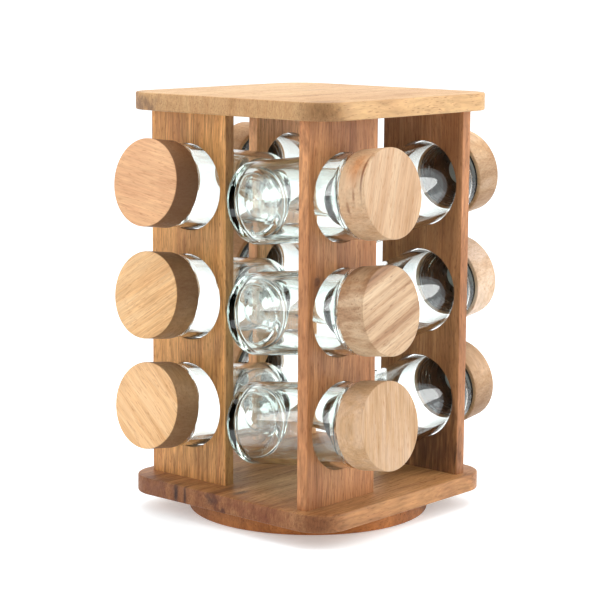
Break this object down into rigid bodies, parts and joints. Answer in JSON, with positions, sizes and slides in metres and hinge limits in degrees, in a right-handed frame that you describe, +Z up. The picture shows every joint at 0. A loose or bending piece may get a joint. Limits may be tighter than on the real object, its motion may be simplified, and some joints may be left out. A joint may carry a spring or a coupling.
{
  "type": "spice carousel",
  "caption": "Revolving square wooden rack whose drilled panels hold tilted glass jars with wooden screw caps, on a round ball-bearing base.",
  "frame": {"origin": "on the floor under the spin axis, at the centre of the base", "axes": "+Z up along the spin axis; the front panel faces -Y and the right panel faces +X"},
  "size_m": [0.1896, 0.1896, 0.2382],
  "materials": {
    "board_wood": "oiled satin",
    "panel_wood": "oiled satin",
    "base_wood": "oiled satin",
    "cap_wood": "oiled satin",
    "jar_glass": "clear gloss",
    "black_plastic": "satin",
    "race_steel": "satin",
    "ball_steel": "polished",
    "screw_steel": "zinc plated",
    "pad_rubber": "matt"
  },
  "bodies": {
    "base": {"base_disc": "base_wood", "foot_pads": "pad_rubber", "lower_race": "race_steel", "bearing_balls": "ball_steel"},
    "carousel": {"upper_race": "race_steel", "bottom_board": "board_wood", "top_board": "board_wood", "panel_screws": "screw_steel", "front_panel": "panel_wood", "right_panel": "panel_wood", "back_panel": "panel_wood", "left_panel": "panel_wood"},
    "front_bottom_jar": {"front_bottom_jar": "jar_glass", "front_bottom_shaker": "black_plastic"},
    "front_bottom_cap": {"front_bottom_cap": "cap_wood", "front_bottom_cap_liner": "black_plastic"},
    "front_middle_jar": {"front_middle_jar": "jar_glass", "front_middle_shaker": "black_plastic"},
    "front_middle_cap": {"front_middle_cap": "cap_wood", "front_middle_cap_liner": "black_plastic"},
    "front_top_jar": {"front_top_jar": "jar_glass", "front_top_shaker": "black_plastic"},
    "front_top_cap": {"front_top_cap": "cap_wood", "front_top_cap_liner": "black_plastic"},
    "right_bottom_jar": {"right_bottom_jar": "jar_glass", "right_bottom_shaker": "black_plastic"},
    "right_bottom_cap": {"right_bottom_cap": "cap_wood", "right_bottom_cap_liner": "black_plastic"},
    "right_middle_jar": {"right_middle_jar": "jar_glass", "right_middle_shaker": "black_plastic"},
    "right_middle_cap": {"right_middle_cap": "cap_wood", "right_middle_cap_liner": "black_plastic"},
    "right_top_jar": {"right_top_jar": "jar_glass", "right_top_shaker": "black_plastic"},
    "right_top_cap": {"right_top_cap": "cap_wood", "right_top_cap_liner": "black_plastic"},
    "back_bottom_jar": {"back_bottom_jar": "jar_glass", "back_bottom_shaker": "black_plastic"},
    "back_bottom_cap": {"back_bottom_cap": "cap_wood", "back_bottom_cap_liner": "black_plastic"},
    "back_middle_jar": {"back_middle_jar": "jar_glass", "back_middle_shaker": "black_plastic"},
    "back_middle_cap": {"back_middle_cap": "cap_wood", "back_middle_cap_liner": "black_plastic"},
    "back_top_jar": {"back_top_jar": "jar_glass", "back_top_shaker": "black_plastic"},
    "back_top_cap": {"back_top_cap": "cap_wood", "back_top_cap_liner": "black_plastic"},
    "left_bottom_jar": {"left_bottom_jar": "jar_glass", "left_bottom_shaker": "black_plastic"},
    "left_bottom_cap": {"left_bottom_cap": "cap_wood", "left_bottom_cap_liner": "black_plastic"},
    "left_middle_jar": {"left_middle_jar": "jar_glass", "left_middle_shaker": "black_plastic"},
    "left_middle_cap": {"left_middle_cap": "cap_wood", "left_middle_cap_liner": "black_plastic"},
    "left_top_jar": {"left_top_jar": "jar_glass", "left_top_shaker": "black_plastic"},
    "left_top_cap": {"left_top_cap": "cap_wood", "left_top_cap_liner": "black_plastic"}
  },
  "joints": [
    {"name": "carousel_spin", "type": "hinge", "parent": "base", "child": "carousel", "pos_m": [0, 0, 0.0093], "axis": [0, 0, 1], "continuous": true},
    {"name": "front_bottom_jar_slide", "type": "slide", "parent": "carousel", "child": "front_bottom_jar", "axis": [0, -0.9914, 0.1305], "range_m": [0, 0.085]},
    {"name": "front_bottom_cap_lift", "type": "slide", "parent": "front_bottom_jar", "child": "front_bottom_cap", "axis": [0, -0.9914, 0.1305], "range_m": [0, 0.035]},
    {"name": "front_middle_jar_slide", "type": "slide", "parent": "carousel", "child": "front_middle_jar", "axis": [0, -0.9914, 0.1305], "range_m": [0, 0.085]},
    {"name": "front_middle_cap_lift", "type": "slide", "parent": "front_middle_jar", "child": "front_middle_cap", "axis": [0, -0.9914, 0.1305], "range_m": [0, 0.035]},
    {"name": "front_top_jar_slide", "type": "slide", "parent": "carousel", "child": "front_top_jar", "axis": [0, -0.9914, 0.1305], "range_m": [0, 0.085]},
    {"name": "front_top_cap_lift", "type": "slide", "parent": "front_top_jar", "child": "front_top_cap", "axis": [0, -0.9914, 0.1305], "range_m": [0, 0.035]},
    {"name": "right_bottom_jar_slide", "type": "slide", "parent": "carousel", "child": "right_bottom_jar", "axis": [0.9914, 0, 0.1305], "range_m": [0, 0.085]},
    {"name": "right_bottom_cap_lift", "type": "slide", "parent": "right_bottom_jar", "child": "right_bottom_cap", "axis": [0.9914, 0, 0.1305], "range_m": [0, 0.035]},
    {"name": "right_middle_jar_slide", "type": "slide", "parent": "carousel", "child": "right_middle_jar", "axis": [0.9914, 0, 0.1305], "range_m": [0, 0.085]},
    {"name": "right_middle_cap_lift", "type": "slide", "parent": "right_middle_jar", "child": "right_middle_cap", "axis": [0.9914, 0, 0.1305], "range_m": [0, 0.035]},
    {"name": "right_top_jar_slide", "type": "slide", "parent": "carousel", "child": "right_top_jar", "axis": [0.9914, 0, 0.1305], "range_m": [0, 0.085]},
    {"name": "right_top_cap_lift", "type": "slide", "parent": "right_top_jar", "child": "right_top_cap", "axis": [0.9914, 0, 0.1305], "range_m": [0, 0.035]},
    {"name": "back_bottom_jar_slide", "type": "slide", "parent": "carousel", "child": "back_bottom_jar", "axis": [0, 0.9914, 0.1305], "range_m": [0, 0.085]},
    {"name": "back_bottom_cap_lift", "type": "slide", "parent": "back_bottom_jar", "child": "back_bottom_cap", "axis": [0, 0.9914, 0.1305], "range_m": [0, 0.035]},
    {"name": "back_middle_jar_slide", "type": "slide", "parent": "carousel", "child": "back_middle_jar", "axis": [0, 0.9914, 0.1305], "range_m": [0, 0.085]},
    {"name": "back_middle_cap_lift", "type": "slide", "parent": "back_middle_jar", "child": "back_middle_cap", "axis": [0, 0.9914, 0.1305], "range_m": [0, 0.035]},
    {"name": "back_top_jar_slide", "type": "slide", "parent": "carousel", "child": "back_top_jar", "axis": [0, 0.9914, 0.1305], "range_m": [0, 0.085]},
    {"name": "back_top_cap_lift", "type": "slide", "parent": "back_top_jar", "child": "back_top_cap", "axis": [0, 0.9914, 0.1305], "range_m": [0, 0.035]},
    {"name": "left_bottom_jar_slide", "type": "slide", "parent": "carousel", "child": "left_bottom_jar", "axis": [-0.9914, 0, 0.1305], "range_m": [0, 0.085]},
    {"name": "left_bottom_cap_lift", "type": "slide", "parent": "left_bottom_jar", "child": "left_bottom_cap", "axis": [-0.9914, 0, 0.1305], "range_m": [0, 0.035]},
    {"name": "left_middle_jar_slide", "type": "slide", "parent": "carousel", "child": "left_middle_jar", "axis": [-0.9914, 0, 0.1305], "range_m": [0, 0.085]},
    {"name": "left_middle_cap_lift", "type": "slide", "parent": "left_middle_jar", "child": "left_middle_cap", "axis": [-0.9914, 0, 0.1305], "range_m": [0, 0.035]},
    {"name": "left_top_jar_slide", "type": "slide", "parent": "carousel", "child": "left_top_jar", "axis": [-0.9914, 0, 0.1305], "range_m": [0, 0.085]},
    {"name": "left_top_cap_lift", "type": "slide", "parent": "left_top_jar", "child": "left_top_cap", "axis": [-0.9914, 0, 0.1305], "range_m": [0, 0.035]}
  ]
}
